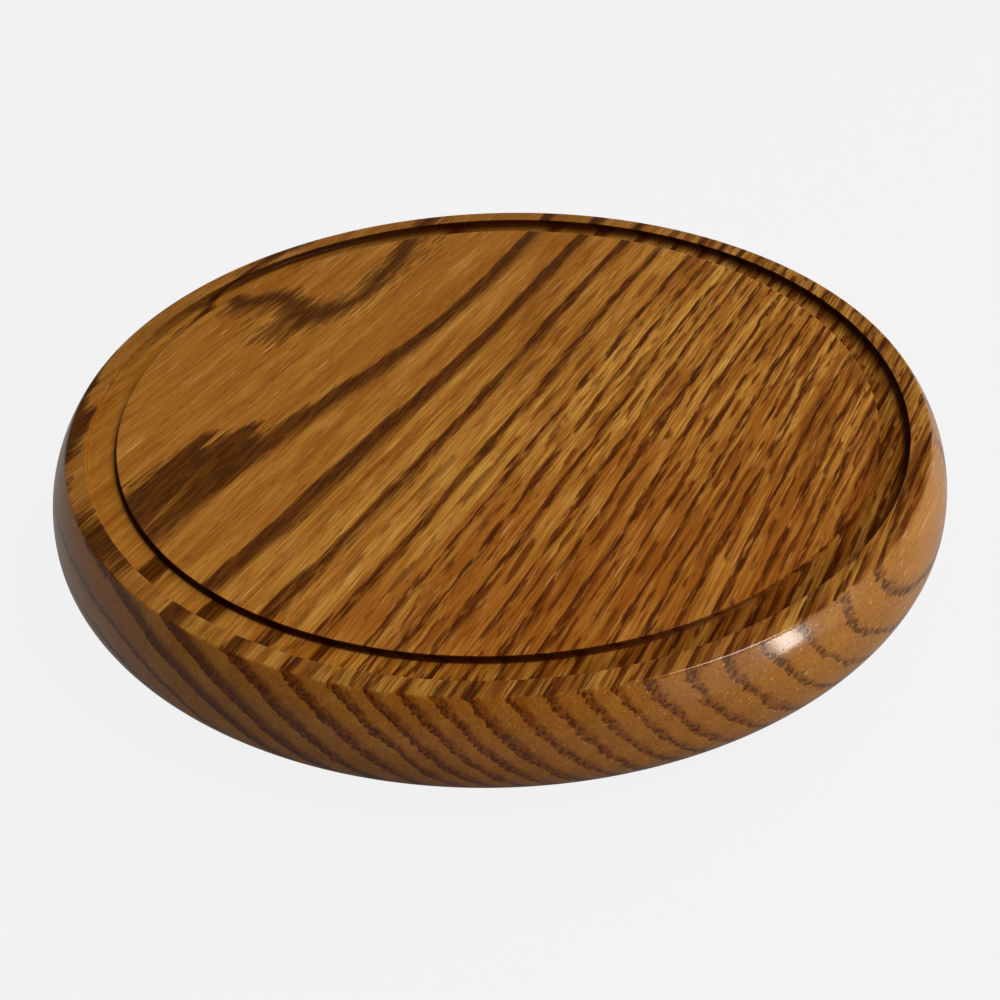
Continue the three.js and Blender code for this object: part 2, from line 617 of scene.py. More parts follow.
    def ring_share(self, tree: bpy.types.NodeTree, radius: bpy.types.NodeSocket) -> bpy.types.NodeSocket:
        """Gives how far through its year's ring a point is.

        Args:
            tree: The material's node tree.
            radius: Distance from the pith line in mm.

        Returns:
            0 where the spring wood starts, rising to 1 at the end of the year's growth.
        """
        inner = self.ring_edges[0]
        outer = self.ring_edges[-1]
        rings = len(self.ring_edges) - 1
        scaled = add_node(
            tree, "ShaderNodeMapRange", {"From Min": inner, "From Max": outer}, {"Value": radius}
        )
        curve = add_node(tree, "ShaderNodeFloatCurve", links={"Value": scaled.outputs["Result"]})
        points = curve.mapping.curves[0].points
        for index, edge in enumerate(self.ring_edges):
            spot = ((edge - inner) / (outer - inner), index / rings)
            if index == 0:
                points[0].location = spot
            elif index == rings:
                points[-1].location = spot
            else:
                points.new(*spot)
        for point in points:
            point.handle_type = "VECTOR"
        curve.mapping.update()
        counted = add_node(
            tree, "ShaderNodeMath", {"operation": "MULTIPLY", 1: float(rings)}, {0: curve.outputs["Value"]}
        )
        share = add_node(tree, "ShaderNodeMath", {"operation": "FRACT"}, {0: counted.outputs[0]})
        return share.outputs[0]

    def end_grain(self, tree: bpy.types.NodeTree) -> bpy.types.NodeSocket:
        """Gives how squarely the surface cuts through the grain.

        Args:
            tree: The material's node tree.

        Returns:
            0 where the grain runs along the surface and 1 where it is cut square.
        """
        turn = math.radians(self.grain_turn_deg)
        normal = add_node(tree, "ShaderNodeTexCoord")
        along = add_node(
            tree,
            "ShaderNodeVectorMath",
            {"operation": "DOT_PRODUCT", 1: (math.sin(turn), math.cos(turn), 0)},
            {0: normal.outputs["Normal"]},
        )
        size = add_node(tree, "ShaderNodeMath", {"operation": "ABSOLUTE"}, {0: along.outputs["Value"]})
        square = add_node(
            tree,
            "ShaderNodeMapRange",
            {"interpolation_type": "SMOOTHSTEP", "From Min": 0.15, "From Max": 0.75},
            {"Value": size.outputs[0]},
        )
        return square.outputs["Result"]

    def plain_share(
        self, tree: bpy.types.NodeTree, outward: bpy.types.NodeSocket, square: bpy.types.NodeSocket
    ) -> bpy.types.NodeSocket:
        """Tells where the wood looks plain, with few streaks: on all of the side wall and on end grain.

        Args:
            tree: The material's node tree.
            outward: Distance from the axis of the board in mm.
            square: How squarely the surface cuts the grain.

        Returns:
            1 where the wood is plain.
        """
        wall = add_node(
            tree,
            "ShaderNodeMapRange",
            {"interpolation_type": "SMOOTHSTEP", "From Min": 109.2, "From Max": 110.2},
            {"Value": outward},
        )
        plain = add_node(
            tree, "ShaderNodeMath", {"operation": "MAXIMUM"}, {0: wall.outputs["Result"], 1: square}
        )
        return plain.outputs[0]

    def right_share(self, tree: bpy.types.NodeTree, grain: bpy.types.NodeSocket) -> bpy.types.NodeSocket:
        """Gives how steeply the rings are cut, which grows from the left edge of the board to the right.

        Args:
            tree: The material's node tree.
            grain: The vector (s, t, z).

        Returns:
            0 where the rings lie flat with even bands, and 1 where they are steep and break into dashes.
        """
        axes = add_node(tree, "ShaderNodeSeparateXYZ", links={0: grain})
        share = add_node(
            tree,
            "ShaderNodeMapRange",
            {"interpolation_type": "SMOOTHSTEP", "From Min": -45.0, "From Max": 45.0},
            {"Value": axes.outputs["X"]},
        )
        return share.outputs["Result"]

    def spring_band(
        self,
        tree: bpy.types.NodeTree,
        radius: bpy.types.NodeSocket,
        ring: bpy.types.NodeSocket,
        fibre: bpy.types.NodeSocket,
        right: bpy.types.NodeSocket,
        plain: bpy.types.NodeSocket,
    ) -> bpy.types.NodeSocket:
        """Gives the dark porous band of each ring's spring wood.

        Args:
            tree: The material's node tree.
            radius: Distance from the pith line in mm.
            ring: How far through its ring a point is.
            fibre: The vector along the fibres.
            right: How steeply the rings are cut.
            plain: 1 on the side wall and on end grain.

        Returns:
            1 in the band, with a sharp side towards the pith and a softer one away from it.
        """
        inner = self.band_shares[0][0]
        outer = self.band_shares[-1][0]
        scaled = add_node(
            tree, "ShaderNodeMapRange", {"From Min": inner, "From Max": outer}, {"Value": radius}
        )
        curve = add_node(tree, "ShaderNodeFloatCurve", links={"Value": scaled.outputs["Result"]})
        points = curve.mapping.curves[0].points
        points[0].location = (0.0, self.band_shares[0][1])
        points[-1].location = (1.0, self.band_shares[-1][1])
        for distance, share in self.band_shares[1:-1]:
            points.new((distance - inner) / (outer - inner), share)
        curve.mapping.update()
        wall_width = add_node(
            tree,
            "ShaderNodeMapRange",
            {"From Min": 160.0, "From Max": 215.0, "To Min": 1.55, "To Max": 0.8},
            {"Value": radius},
        )
        scale = add_node(
            tree,
            "ShaderNodeMapRange",
            {"To Min": 1.0},
            {"Value": plain, "To Max": wall_width.outputs["Result"]},
        )
        width = add_node(
            tree,
            "ShaderNodeMath",
            {"operation": "MULTIPLY"},
            {0: curve.outputs["Value"], 1: scale.outputs["Result"]},
        )
        fade_from = add_node(tree, "ShaderNodeMath", {"operation": "MULTIPLY", 1: 0.6}, {0: width.outputs[0]})
        fade_to = add_node(tree, "ShaderNodeMath", {"operation": "MULTIPLY", 1: 1.4}, {0: width.outputs[0]})
        fade = add_node(
            tree,
            "ShaderNodeMapRange",
            {"interpolation_type": "SMOOTHSTEP", "To Min": 1.0, "To Max": 0.0},
            {"Value": ring, "From Min": fade_from.outputs[0], "From Max": fade_to.outputs[0]},
        )
        onset = add_node(
            tree,
            "ShaderNodeMapRange",
            {"interpolation_type": "SMOOTHSTEP", "From Max": 0.05, "To Min": 0.2},
            {"Value": ring},
        )
        band = add_node(
            tree,
            "ShaderNodeMath",
            {"operation": "MULTIPLY"},
            {0: fade.outputs["Result"], 1: onset.outputs["Result"]},
        )
        gaps = self.stretched_noise(tree, fibre, across_mm=1.1, along_mm=9, detail=2, shift=7.0)
        most = add_node(tree, "ShaderNodeMapRange", {"To Min": 0.9, "To Max": 0.4}, {"Value": plain})
        depth = add_node(
            tree,
            "ShaderNodeMapRange",
            {"From Min": 0.3, "To Min": 0.05},
            {"Value": right, "To Max": most.outputs["Result"]},
        )
        gap = add_node(
            tree,
            "ShaderNodeMapRange",
            {"interpolation_type": "SMOOTHSTEP", "From Min": -0.02, "From Max": 0.12},
            {"Value": gaps, "To Max": depth.outputs["Result"]},
        )
        broken = add_node(
            tree, "ShaderNodeMath", {"operation": "SUBTRACT", 0: 1.0}, {1: gap.outputs["Result"]}
        )
        dashed = add_node(
            tree, "ShaderNodeMath", {"operation": "MULTIPLY"}, {0: band.outputs[0], 1: broken.outputs[0]}
        )
        short = self.short_rows(tree, ring, fibre, right, plain)
        rows = add_node(tree, "ShaderNodeMath", {"operation": "MAXIMUM"}, {0: dashed.outputs[0], 1: short})
        return rows.outputs[0]

    def short_rows(
        self,
        tree: bpy.types.NodeTree,
        ring: bpy.types.NodeSocket,
        fibre: bpy.types.NodeSocket,
        right: bpy.types.NodeSocket,
        plain: bpy.types.NodeSocket,
    ) -> bpy.types.NodeSocket:
        """Gives the short rows of pores between the spring bands, where the rings are cut steeply.

        Args:
            tree: The material's node tree.
            ring: How far through its ring a point is.
            fibre: The vector along the fibres.
            right: How steeply the rings are cut.
            plain: 1 on the side wall and on end grain.

        Returns:
            1 in a row.
        """
        begin = add_node(
            tree,
            "ShaderNodeMapRange",
            {"interpolation_type": "SMOOTHSTEP", "From Min": 0.46, "From Max": 0.54},
            {"Value": ring},
        )
        end = add_node(
            tree,
            "ShaderNodeMapRange",
            {
                "interpolation_type": "SMOOTHSTEP",
                "From Min": 0.62,
                "From Max": 0.8,
                "To Min": 1.0,
                "To Max": 0.0,
            },
            {"Value": ring},
        )
        row = add_node(
            tree,
            "ShaderNodeMath",
            {"operation": "MULTIPLY"},
            {0: begin.outputs["Result"], 1: end.outputs["Result"]},
        )
        pieces = self.stretched_noise(tree, fibre, across_mm=2.2, along_mm=13, detail=2, shift=41.0)
        shown = add_node(
            tree,
            "ShaderNodeMapRange",
            {"interpolation_type": "SMOOTHSTEP", "From Min": -0.04, "From Max": 0.06, "To Max": 0.95},
            {"Value": pieces},
        )
        dash = add_node(
            tree, "ShaderNodeMath", {"operation": "MULTIPLY"}, {0: row.outputs[0], 1: shown.outputs["Result"]}
        )
        flat = add_node(tree, "ShaderNodeMath", {"operation": "SUBTRACT", 0: 1.0}, {1: plain})
        steep = add_node(tree, "ShaderNodeMath", {"operation": "MULTIPLY"}, {0: flat.outputs[0], 1: right})
        rows = add_node(
            tree, "ShaderNodeMath", {"operation": "MULTIPLY"}, {0: dash.outputs[0], 1: steep.outputs[0]}
        )
        return rows.outputs[0]

    def vessels(
        self,
        tree: bpy.types.NodeTree,
        fibre: bpy.types.NodeSocket,
        ring: bpy.types.NodeSocket,
    ) -> bpy.types.NodeSocket:
        """Gives the open vessels, long with the grain and round across it.

        Args:
            tree: The material's node tree.
            fibre: The vector along the fibres.
            ring: How far through its ring a point is.

        Returns:
            1 in a vessel and 0 in solid wood.
        """
        # Red oak's vessels are about 0.3 mm wide. They are drawn 0.5 mm wide, so that they still show
        scaled = add_node(
            tree, "ShaderNodeMapping", {"Scale": (1 / 0.85, 1 / 9, 1 / 0.85)}, {"Vector": fibre}
        )
        cells = add_node(
            tree,
            "ShaderNodeTexVoronoi",
            {"Scale": 1.0, "Randomness": 1.0},
            {"Vector": scaled.outputs["Vector"]},
        )
        open_part = add_node(
            tree,
            "ShaderNodeMapRange",
            {
                "interpolation_type": "SMOOTHSTEP",
                "From Min": 0.12,
                "From Max": 0.38,
                "To Min": 0.55,
                "To Max": 0.19,
            },
            {"Value": ring},
        )
        inside = add_node(
            tree,
            "ShaderNodeMath",
            {"operation": "SUBTRACT"},
            {0: open_part.outputs["Result"], 1: cells.outputs["Distance"]},
        )
        vessel = add_node(
            tree,
            "ShaderNodeMapRange",
            {"interpolation_type": "SMOOTHSTEP", "From Min": -0.04, "From Max": 0.12},
            {"Value": inside.outputs[0]},
        )
        return vessel.outputs["Result"]

    def colour(
        self,
        tree: bpy.types.NodeTree,
        grain: bpy.types.NodeSocket,
        fibre: bpy.types.NodeSocket,
        ring: bpy.types.NodeSocket,
        band: bpy.types.NodeSocket,
        vessels: bpy.types.NodeSocket,
        square: bpy.types.NodeSocket,
        plain: bpy.types.NodeSocket,
        right: bpy.types.NodeSocket,
        outward: bpy.types.NodeSocket,
    ) -> bpy.types.NodeSocket:
        """Mixes the stained wood's colour.

        Args:
            tree: The material's node tree.
            grain: The vector (s, t, z).
            fibre: The vector along the fibres.
            ring: How far through its ring a point is.
            band: The spring wood band.
            vessels: The open vessels.
            square: How squarely the surface cuts the grain.
            plain: 1 on the side wall and on end grain.
            right: How steeply the rings are cut.
            outward: Distance from the axis of the board in mm.

        Returns:
            The colour.
        """
        fine = self.stretched_noise(tree, fibre, across_mm=0.55, along_mm=24, detail=2)
        broad = self.stretched_noise(tree, fibre, across_mm=4.5, along_mm=70, detail=1, shift=3.0)
        both = add_node(
            tree, "ShaderNodeMath", {"operation": "MULTIPLY_ADD", 1: 0.8}, {0: broad, 2: fine}
        )
        strongest = add_node(tree, "ShaderNodeMapRange", {"To Min": 2.6, "To Max": 0.6}, {"Value": plain})
        weakest = add_node(tree, "ShaderNodeMapRange", {"To Min": 1.0, "To Max": 0.5}, {"Value": plain})
        contrast = add_node(
            tree,
            "ShaderNodeMapRange",
            links={
                "Value": right,
                "To Min": weakest.outputs["Result"],
                "To Max": strongest.outputs["Result"],
            },
        )
        away = add_node(
            tree, "ShaderNodeVectorMath", {"operation": "DISTANCE", 1: self.reddest_spot}, {0: grain}
        )
        redder = add_node(
            tree,
            "ShaderNodeMapRange",
            {"From Min": 105.0, "From Max": 15.0, "To Min": 0.0, "To Max": 0.42},
            {"Value": away.outputs["Value"]},
        )
        lighter = add_node(
            tree, "ShaderNodeMapRange", {"From Max": 0.5, "To Min": 0.02, "To Max": 0.16}, {"Value": right}
        )
        axes = add_node(tree, "ShaderNodeSeparateXYZ", links={0: grain})
        far_right = add_node(
            tree, "ShaderNodeMapRange", {"From Min": 52.0, "From Max": 105.0}, {"Value": axes.outputs["X"]}
        )
        browner = add_node(
            tree,
            "ShaderNodeMapRange",
            {"From Min": 25.0, "From Max": 85.0, "To Min": 0.0, "To Max": 0.17},
            {"Value": axes.outputs["X"]},
        )
        quieter = add_node(
            tree,
            "ShaderNodeMath",
            {"operation": "SUBTRACT"},
            {0: lighter.outputs["Result"], 1: browner.outputs["Result"]},
        )
        level = add_node(
            tree,
            "ShaderNodeMath",
            {"operation": "MULTIPLY_ADD", 1: -0.35},
            {0: redder.outputs["Result"], 2: quieter.outputs[0]},
        )
        streak = add_node(
            tree,
            "ShaderNodeMath",
            {"operation": "MULTIPLY_ADD"},
            {0: both.outputs[0], 1: contrast.outputs["Result"], 2: level.outputs[0]},
        )
        dimming = add_node(
            tree, "ShaderNodeMapRange", {"From Min": 0.0, "From Max": -0.5}, {"Value": streak.outputs[0]}
        )
        dimmed = add_node(
            tree,
            "ShaderNodeMix",
            {"data_type": "RGBA", 6: linear(self.golden), 7: linear(self.shaded)},
            {0: dimming.outputs["Result"]},
        )
        paling = add_node(
            tree, "ShaderNodeMapRange", {"From Min": 0.0, "From Max": 0.7}, {"Value": streak.outputs[0]}
        )
        ground = add_node(
            tree,
            "ShaderNodeMix",
            {"data_type": "RGBA", 7: linear(self.pale)},
            {0: paling.outputs["Result"], 6: dimmed.outputs[2]},
        )
        patch = self.stretched_noise(tree, fibre, across_mm=16, along_mm=45, detail=2, shift=11.0)
        warmth = add_node(
            tree, "ShaderNodeMath", {"operation": "ADD"}, {0: patch, 1: redder.outputs["Result"]}
        )
        rim = add_node(
            tree,
            "ShaderNodeMapRange",
            {"From Min": 97.0, "From Max": 104.0, "To Min": 0.85, "To Max": 0.25},
            {"Value": outward},
        )
        reddening = add_node(
            tree,
            "ShaderNodeMapRange",
            {"From Min": -0.05, "From Max": 0.6},
            {"Value": warmth.outputs[0], "To Max": rim.outputs["Result"]},
        )
        warm = add_node(
            tree,
            "ShaderNodeMix",
            {"data_type": "RGBA", 7: linear(self.reddish)},
            {0: reddening.outputs["Result"], 6: ground.outputs[2]},
        )
        hairs = self.stretched_noise(tree, fibre, across_mm=0.5, along_mm=17, detail=1, shift=21.0)
        hair = add_node(
            tree,
            "ShaderNodeMapRange",
            {"interpolation_type": "SMOOTHSTEP", "From Min": 0.14, "From Max": 0.27, "To Max": 0.5},
            {"Value": hairs},
        )
        haired = add_node(
            tree,
            "ShaderNodeMix",
            {"data_type": "RGBA", 7: linear(self.bloom)},
            {0: hair.outputs["Result"], 6: warm.outputs[2]},
        )
        dotted = add_node(
            tree, "ShaderNodeMath", {"operation": "MULTIPLY"}, {0: plain, 1: far_right.outputs["Result"]}
        )
        depth = add_node(
            tree, "ShaderNodeMapRange", {"To Min": 0.94, "To Max": 0.65}, {"Value": dotted.outputs[0]}
        )
        shade = add_node(
            tree, "ShaderNodeMath", {"operation": "MULTIPLY"}, {0: band, 1: depth.outputs["Result"]}
        )
        spring_wood = add_node(
            tree,
            "ShaderNodeMix",
            {"data_type": "RGBA", 6: linear(self.earlywood), 7: linear(self.red_earlywood)},
            {0: right},
        )
        banded = add_node(
            tree,
            "ShaderNodeMix",
            {"data_type": "RGBA"},
            {0: shade.outputs[0], 6: haired.outputs[2], 7: spring_wood.outputs[2]},
        )
        haze = add_node(
            tree,
            "ShaderNodeMapRange",
            {"interpolation_type": "SMOOTHSTEP", "From Max": 0.8, "To Min": 0.3, "To Max": 0.0},
            {"Value": ring},
        )
        hazed = add_node(
            tree,
            "ShaderNodeMath",
            {"operation": "MULTIPLY"},
            {0: haze.outputs["Result"], 1: square},
        )
        browned = add_node(
            tree,
            "ShaderNodeMix",
            {"data_type": "RGBA", 7: linear(self.reddish)},
            {0: hazed.outputs[0], 6: banded.outputs[2]},
        )
        hole = add_node(tree, "ShaderNodeMapRange", {"To Min": 0.5, "To Max": 0.62}, {"Value": right})
        filled = add_node(
            tree, "ShaderNodeMath", {"operation": "MULTIPLY"}, {0: vessels, 1: hole.outputs["Result"]}
        )
        porous = add_node(
            tree,
            "ShaderNodeMix",
            {"data_type": "RGBA", 7: linear(self.vessel)},
            {0: filled.outputs[0], 6: browned.outputs[2]},
        )
        # The side wall and the end grain took up more stain than the top, and the rim a little more
        # Towards the far right the wall is painted lighter and bluer: painted light and sheen from the lamps
        # at the right
        wall_stain_and_light = add_node(
            tree,
            "ShaderNodeMix",
            {"data_type": "VECTOR", 4: (0.9, 0.8, 0.6), 5: (1.06, 1.18, 1.3)},
            {0: far_right.outputs["Result"]},
        )
        edge = add_node(
            tree,
            "ShaderNodeMapRange",
            {"interpolation_type": "SMOOTHSTEP", "From Min": 103.8, "From Max": 104.8},
            {"Value": outward},
        )
        rim_tint = add_node(
            tree,
            "ShaderNodeMix",
            {"data_type": "VECTOR", 4: (1.0, 1.0, 1.0), 5: (0.82, 0.82, 0.9)},
            {0: edge.outputs["Result"]},
        )
        tint = add_node(
            tree,
            "ShaderNodeMix",
            {"data_type": "VECTOR"},
            {0: plain, 4: rim_tint.outputs[1], 5: wall_stain_and_light.outputs[1]},
        )
        darker = add_node(
            tree,
            "ShaderNodeVectorMath",
            {"operation": "MULTIPLY"},
            {0: porous.outputs[2], 1: tint.outputs[1]},
        )
        return darker.outputs["Vector"]

    def from_axis(self, tree: bpy.types.NodeTree, grain: bpy.types.NodeSocket) -> bpy.types.NodeSocket:
        """Gives the distance from the axis that the board was turned on.

        Args:
            tree: The material's node tree.
            grain: The vector (s, t, z).

        Returns:
            The distance in mm.
        """
        flat = add_node(
            tree, "ShaderNodeVectorMath", {"operation": "MULTIPLY", 1: (1.0, 1.0, 0.0)}, {0: grain}
        )
        radius = add_node(
            tree, "ShaderNodeVectorMath", {"operation": "LENGTH"}, {0: flat.outputs["Vector"]}
        )
        return radius.outputs["Value"]

    def groove_share(
        self, tree: bpy.types.NodeTree, grain: bpy.types.NodeSocket, outward: bpy.types.NodeSocket
    ) -> bpy.types.NodeSocket:
        """Tells the groove's walls and floor from the rest of the board.

        Args:
            tree: The material's node tree.
            grain: The vector (s, t, z).
            outward: Distance from the axis of the board in mm.

        Returns:
            1 in the groove and 0 outside it.
        """
        axes = add_node(tree, "ShaderNodeSeparateXYZ", links={0: grain})
        sunk = add_node(
            tree,
            "ShaderNodeMapRange",
            {"interpolation_type": "SMOOTHSTEP", "From Min": 0.0, "From Max": -0.08},
            {"Value": axes.outputs["Z"]},
        )
        upper = add_node(
            tree,
            "ShaderNodeMath",
            {"operation": "GREATER_THAN", 1: 2 * self.groove_floor},
            {0: axes.outputs["Z"]},
        )
        inside = add_node(
            tree, "ShaderNodeMath", {"operation": "LESS_THAN", 1: self.groove_outer + 0.5}, {0: outward}
        )
        near_top = add_node(
            tree, "ShaderNodeMath", {"operation": "MULTIPLY"}, {0: upper.outputs[0], 1: inside.outputs[0]}
        )
        share = add_node(
            tree,
            "ShaderNodeMath",
            {"operation": "MULTIPLY"},
            {0: sunk.outputs["Result"], 1: near_top.outputs[0]},
        )
        return share.outputs[0]

    def groove_stain_and_shade(
        self,
        tree: bpy.types.NodeTree,
        grain: bpy.types.NodeSocket,
        band: bpy.types.NodeSocket,
        outward: bpy.types.NodeSocket,
        groove: bpy.types.NodeSocket,
        colour: bpy.types.NodeSocket,
    ) -> bpy.types.NodeSocket:
        """Darkens the groove with pooled staining, most where its walls cut across the grain, and with
        painted shade.

        Args:
            tree: The material's node tree.
            grain: The vector (s, t, z).
            band: The spring wood band.
            outward: Distance from the axis of the board in mm.
            groove: 1 in the groove.
            colour: The wood's colour.

        Returns:
            The colour with the pooled staining and the painted shade.
        """
        axes = add_node(tree, "ShaderNodeSeparateXYZ", links={0: grain})
        walls = []
        # Pooled staining and painted shade: the outer wall is darkest at its back and the inner wall at its
        # front, where they face away from the lamps
        for edge, clear, full, least_at, most_at, least in (
            (self.groove_outer, -3.4, -0.8, -80.0, 45.0, 0.1),
            (self.groove_inner, 1.0, 0.3, 5.0, -82.0, 0.15),
        ):
            cut = add_node(
                tree,
                "ShaderNodeMapRange",
                {
                    "interpolation_type": "SMOOTHSTEP",
                    "From Min": least_at,
                    "From Max": most_at,
                    "To Min": least,
                    "To Max": 0.93,
                },
                {"Value": axes.outputs["Y"]},
            )
            wall = add_node(
                tree,
                "ShaderNodeMapRange",
                {"interpolation_type": "SMOOTHSTEP", "From Min": edge + clear, "From Max": edge + full},
                {"Value": outward, "To Max": cut.outputs["Result"]},
            )
            walls.append(wall.outputs["Result"])
        pooled_stain_and_shade = add_node(tree, "ShaderNodeMath", {"operation": "MAXIMUM"}, {0: walls[0], 1: walls[1]})
        # The floor is also darker on the spring wood bands, and darker towards the right
        darker_rightwards = add_node(
            tree,
            "ShaderNodeMapRange",
            {
                "interpolation_type": "SMOOTHSTEP",
                "From Min": 10.0,
                "From Max": 98.0,
                "To Min": 0.05,
                "To Max": 0.45,
            },
            {"Value": axes.outputs["X"]},
        )
        soak_and_darkening = add_node(
            tree,
            "ShaderNodeMath",
            {"operation": "MULTIPLY_ADD", 1: 0.15},
            {0: band, 2: darker_rightwards.outputs["Result"]},
        )
        # Painted shadow of the outer wall on the far floor: darker towards the back, most next to the outer
        # wall
        back = add_node(
            tree,
            "ShaderNodeMapRange",
            {
                "interpolation_type": "SMOOTHSTEP",
                "From Min": 10.0,
                "From Max": 75.0,
                "To Min": 0.0,
                "To Max": 0.86,
            },
            {"Value": axes.outputs["Y"]},
        )
        inner_part = add_node(
            tree,
            "ShaderNodeMapRange",
            {"From Min": 99.5, "From Max": 102.5, "To Min": 0.42, "To Max": 1.0},
            {"Value": outward},
        )
        painted_far_shadow = add_node(
            tree,
            "ShaderNodeMath",
            {"operation": "MULTIPLY"},
            {0: back.outputs["Result"], 1: inner_part.outputs["Result"]},
        )
        floor_soak_and_shadow = add_node(
            tree,
            "ShaderNodeMath",
            {"operation": "MAXIMUM"},
            {0: painted_far_shadow.outputs[0], 1: soak_and_darkening.outputs[0]},
        )
        deeper = add_node(
            tree,
            "ShaderNodeMath",
            {"operation": "MAXIMUM"},
            {0: pooled_stain_and_shade.outputs[0], 1: floor_soak_and_shadow.outputs[0]},
        )
        amount = add_node(
            tree, "ShaderNodeMath", {"operation": "MULTIPLY"}, {0: deeper.outputs[0], 1: groove}
        )
        # Mixes in the dark colour of pooled staining and painted shade
        stained = add_node(
            tree,
            "ShaderNodeMix",
            {"data_type": "RGBA", 7: linear(self.stain_and_shade)},
            {0: amount.outputs[0], 6: colour},
        )
        return stained.outputs[2]

    def surface(
        self,
        tree: bpy.types.NodeTree,
        colour: bpy.types.NodeSocket,
        band: bpy.types.NodeSocket,
        vessels: bpy.types.NodeSocket,
        fibre: bpy.types.NodeSocket,
        groove: bpy.types.NodeSocket,
    ) -> None:
        """Adds the wood's surface with its clear varnish, which is thin and dull in the groove.

        Args:
            tree: The material's node tree.
            colour: The stained wood's colour, with painted shade in the groove.
            band: The spring wood band.
            vessels: The open vessels.
            fibre: The vector along the fibres.
            groove: 1 in the groove.
        """
        hollow = add_node(
            tree, "ShaderNodeMath", {"operation": "MULTIPLY_ADD", 1: 0.5}, {0: band, 2: vessels}
        )
        relief = add_node(
            tree,
            "ShaderNodeBump",
            {"Strength": 0.45, "Distance": 0.0001, "invert": True},
            {"Height": hollow.outputs[0]},
        )
        ripple = self.stretched_noise(tree, fibre, across_mm=2.5, along_mm=22, detail=2, shift=31.0)
        film = add_node(
            tree,
            "ShaderNodeMath",
            {"operation": "MULTIPLY_ADD", 1: -0.3},
            {0: hollow.outputs[0], 2: ripple},
        )
        varnish = add_node(
            tree, "ShaderNodeBump", {"Strength": 0.2, "Distance": 0.0001}, {"Height": film.outputs[0]}
        )
        coat = add_node(tree, "ShaderNodeMapRange", {"To Min": 0.8, "To Max": 0.04}, {"Value": groove})
        shader = add_node(
            tree,
            "ShaderNodeBsdfPrincipled",
            {
                "Roughness": 0.5,
                "IOR": 1.5,
                "Specular IOR Level": 0.0,
                "Coat Roughness": 0.15,
                "Coat IOR": 1.5,
            },
            {
                "Base Color": colour,
                "Normal": relief.outputs["Normal"],
                "Coat Weight": coat.outputs["Result"],
                "Coat Normal": varnish.outputs["Normal"],
            },
        )
        add_node(tree, "ShaderNodeOutputMaterial", links={"Surface": shader.outputs["BSDF"]})


@dataclass(frozen=True)
class MouldedRubber:
    """Black EPDM rubber from a sparked steel mould."""

    ground: str = "1d1c1b"
    dusty: str = "2c2a27"
    grit_mm: float = 0.25

    def build(self) -> bpy.types.Material:
        """Makes the material.

        Returns:
            The rubber.
        """
        # Moulded EPDM: a dull near-black with a faint grey bloom and a fine sparked grain
        material = new_material("moulded_epdm_rubber")
        tree = material.node_tree
        coordinates = add_node(tree, "ShaderNodeTexCoord")
        bloom = add_node(
            tree,
            "ShaderNodeTexNoise",
            {"Scale": 1 / (6 * MM), "Detail": 3.0},
            {"Vector": coordinates.outputs["Object"]},
        )
        tone = add_node(
            tree,
            "ShaderNodeMix",
            {"data_type": "RGBA", 6: linear(self.ground), 7: linear(self.dusty)},
            {0: bloom.outputs["Fac"]},
        )
        dullness = add_node(
            tree, "ShaderNodeMapRange", {"To Min": 0.62, "To Max": 0.85}, {"Value": bloom.outputs["Fac"]}
        )
        grit = add_node(
            tree,
            "ShaderNodeTexNoise",
            {"Scale": 1 / (self.grit_mm * MM), "Detail": 1.0},
            {"Vector": coordinates.outputs["Object"]},
        )
        relief = add_node(
            tree, "ShaderNodeBump", {"Strength": 0.35, "Distance": 0.00004}, {"Height": grit.outputs["Fac"]}
        )
        shader = add_node(
            tree,
            "ShaderNodeBsdfPrincipled",
            {"IOR": 1.52},
            {
                "Base Color": tone.outputs[2],
                "Roughness": dullness.outputs["Result"],
                "Normal": relief.outputs["Normal"],
            },
        )
        add_node(tree, "ShaderNodeOutputMaterial", links={"Surface": shader.outputs["BSDF"]})
        return material


@dataclass(frozen=True)
class ZincPlate:
    """Steel with bright zinc plate from a barrel: soft blue-grey clouds and tiny handling marks."""

    ground: str = "b4b6b8"
    cloud: str = "9aa0a6"

    def build(self) -> bpy.types.Material:
        """Makes the material.

        Returns:
            The plated steel.
        """
        # Zinc plate on steel: a cool bright metal, a little cloudy where the barrel has rubbed it
        material = new_material("bright_zinc_plated_steel")
        tree = material.node_tree
        coordinates = add_node(tree, "ShaderNodeTexCoord")
        clouds = add_node(
            tree,
            "ShaderNodeTexNoise",
            {"Scale": 1 / (1.6 * MM), "Detail": 4.0},
            {"Vector": coordinates.outputs["Object"]},
        )
        tone = add_node(
            tree,
            "ShaderNodeMix",
            {"data_type": "RGBA", 6: linear(self.ground), 7: linear(self.cloud)},
            {0: clouds.outputs["Fac"]},
        )
        gloss = add_node(
            tree, "ShaderNodeMapRange", {"To Min": 0.24, "To Max": 0.42}, {"Value": clouds.outputs["Fac"]}
        )
        marks = add_node(
            tree,
            "ShaderNodeTexNoise",
            {"Scale": 1 / (0.35 * MM), "Detail": 2.0},
            {"Vector": coordinates.outputs["Object"]},
        )
        relief = add_node(
            tree, "ShaderNodeBump", {"Strength": 0.2, "Distance": 0.00002}, {"Height": marks.outputs["Fac"]}
        )
        shader = add_node(
            tree,
            "ShaderNodeBsdfPrincipled",
            {"Metallic": 1.0},
            {
                "Base Color": tone.outputs[2],
                "Roughness": gloss.outputs["Result"],
                "Normal": relief.outputs["Normal"],
            },
        )
        add_node(tree, "ShaderNodeOutputMaterial", links={"Surface": shader.outputs["BSDF"]})
        return material


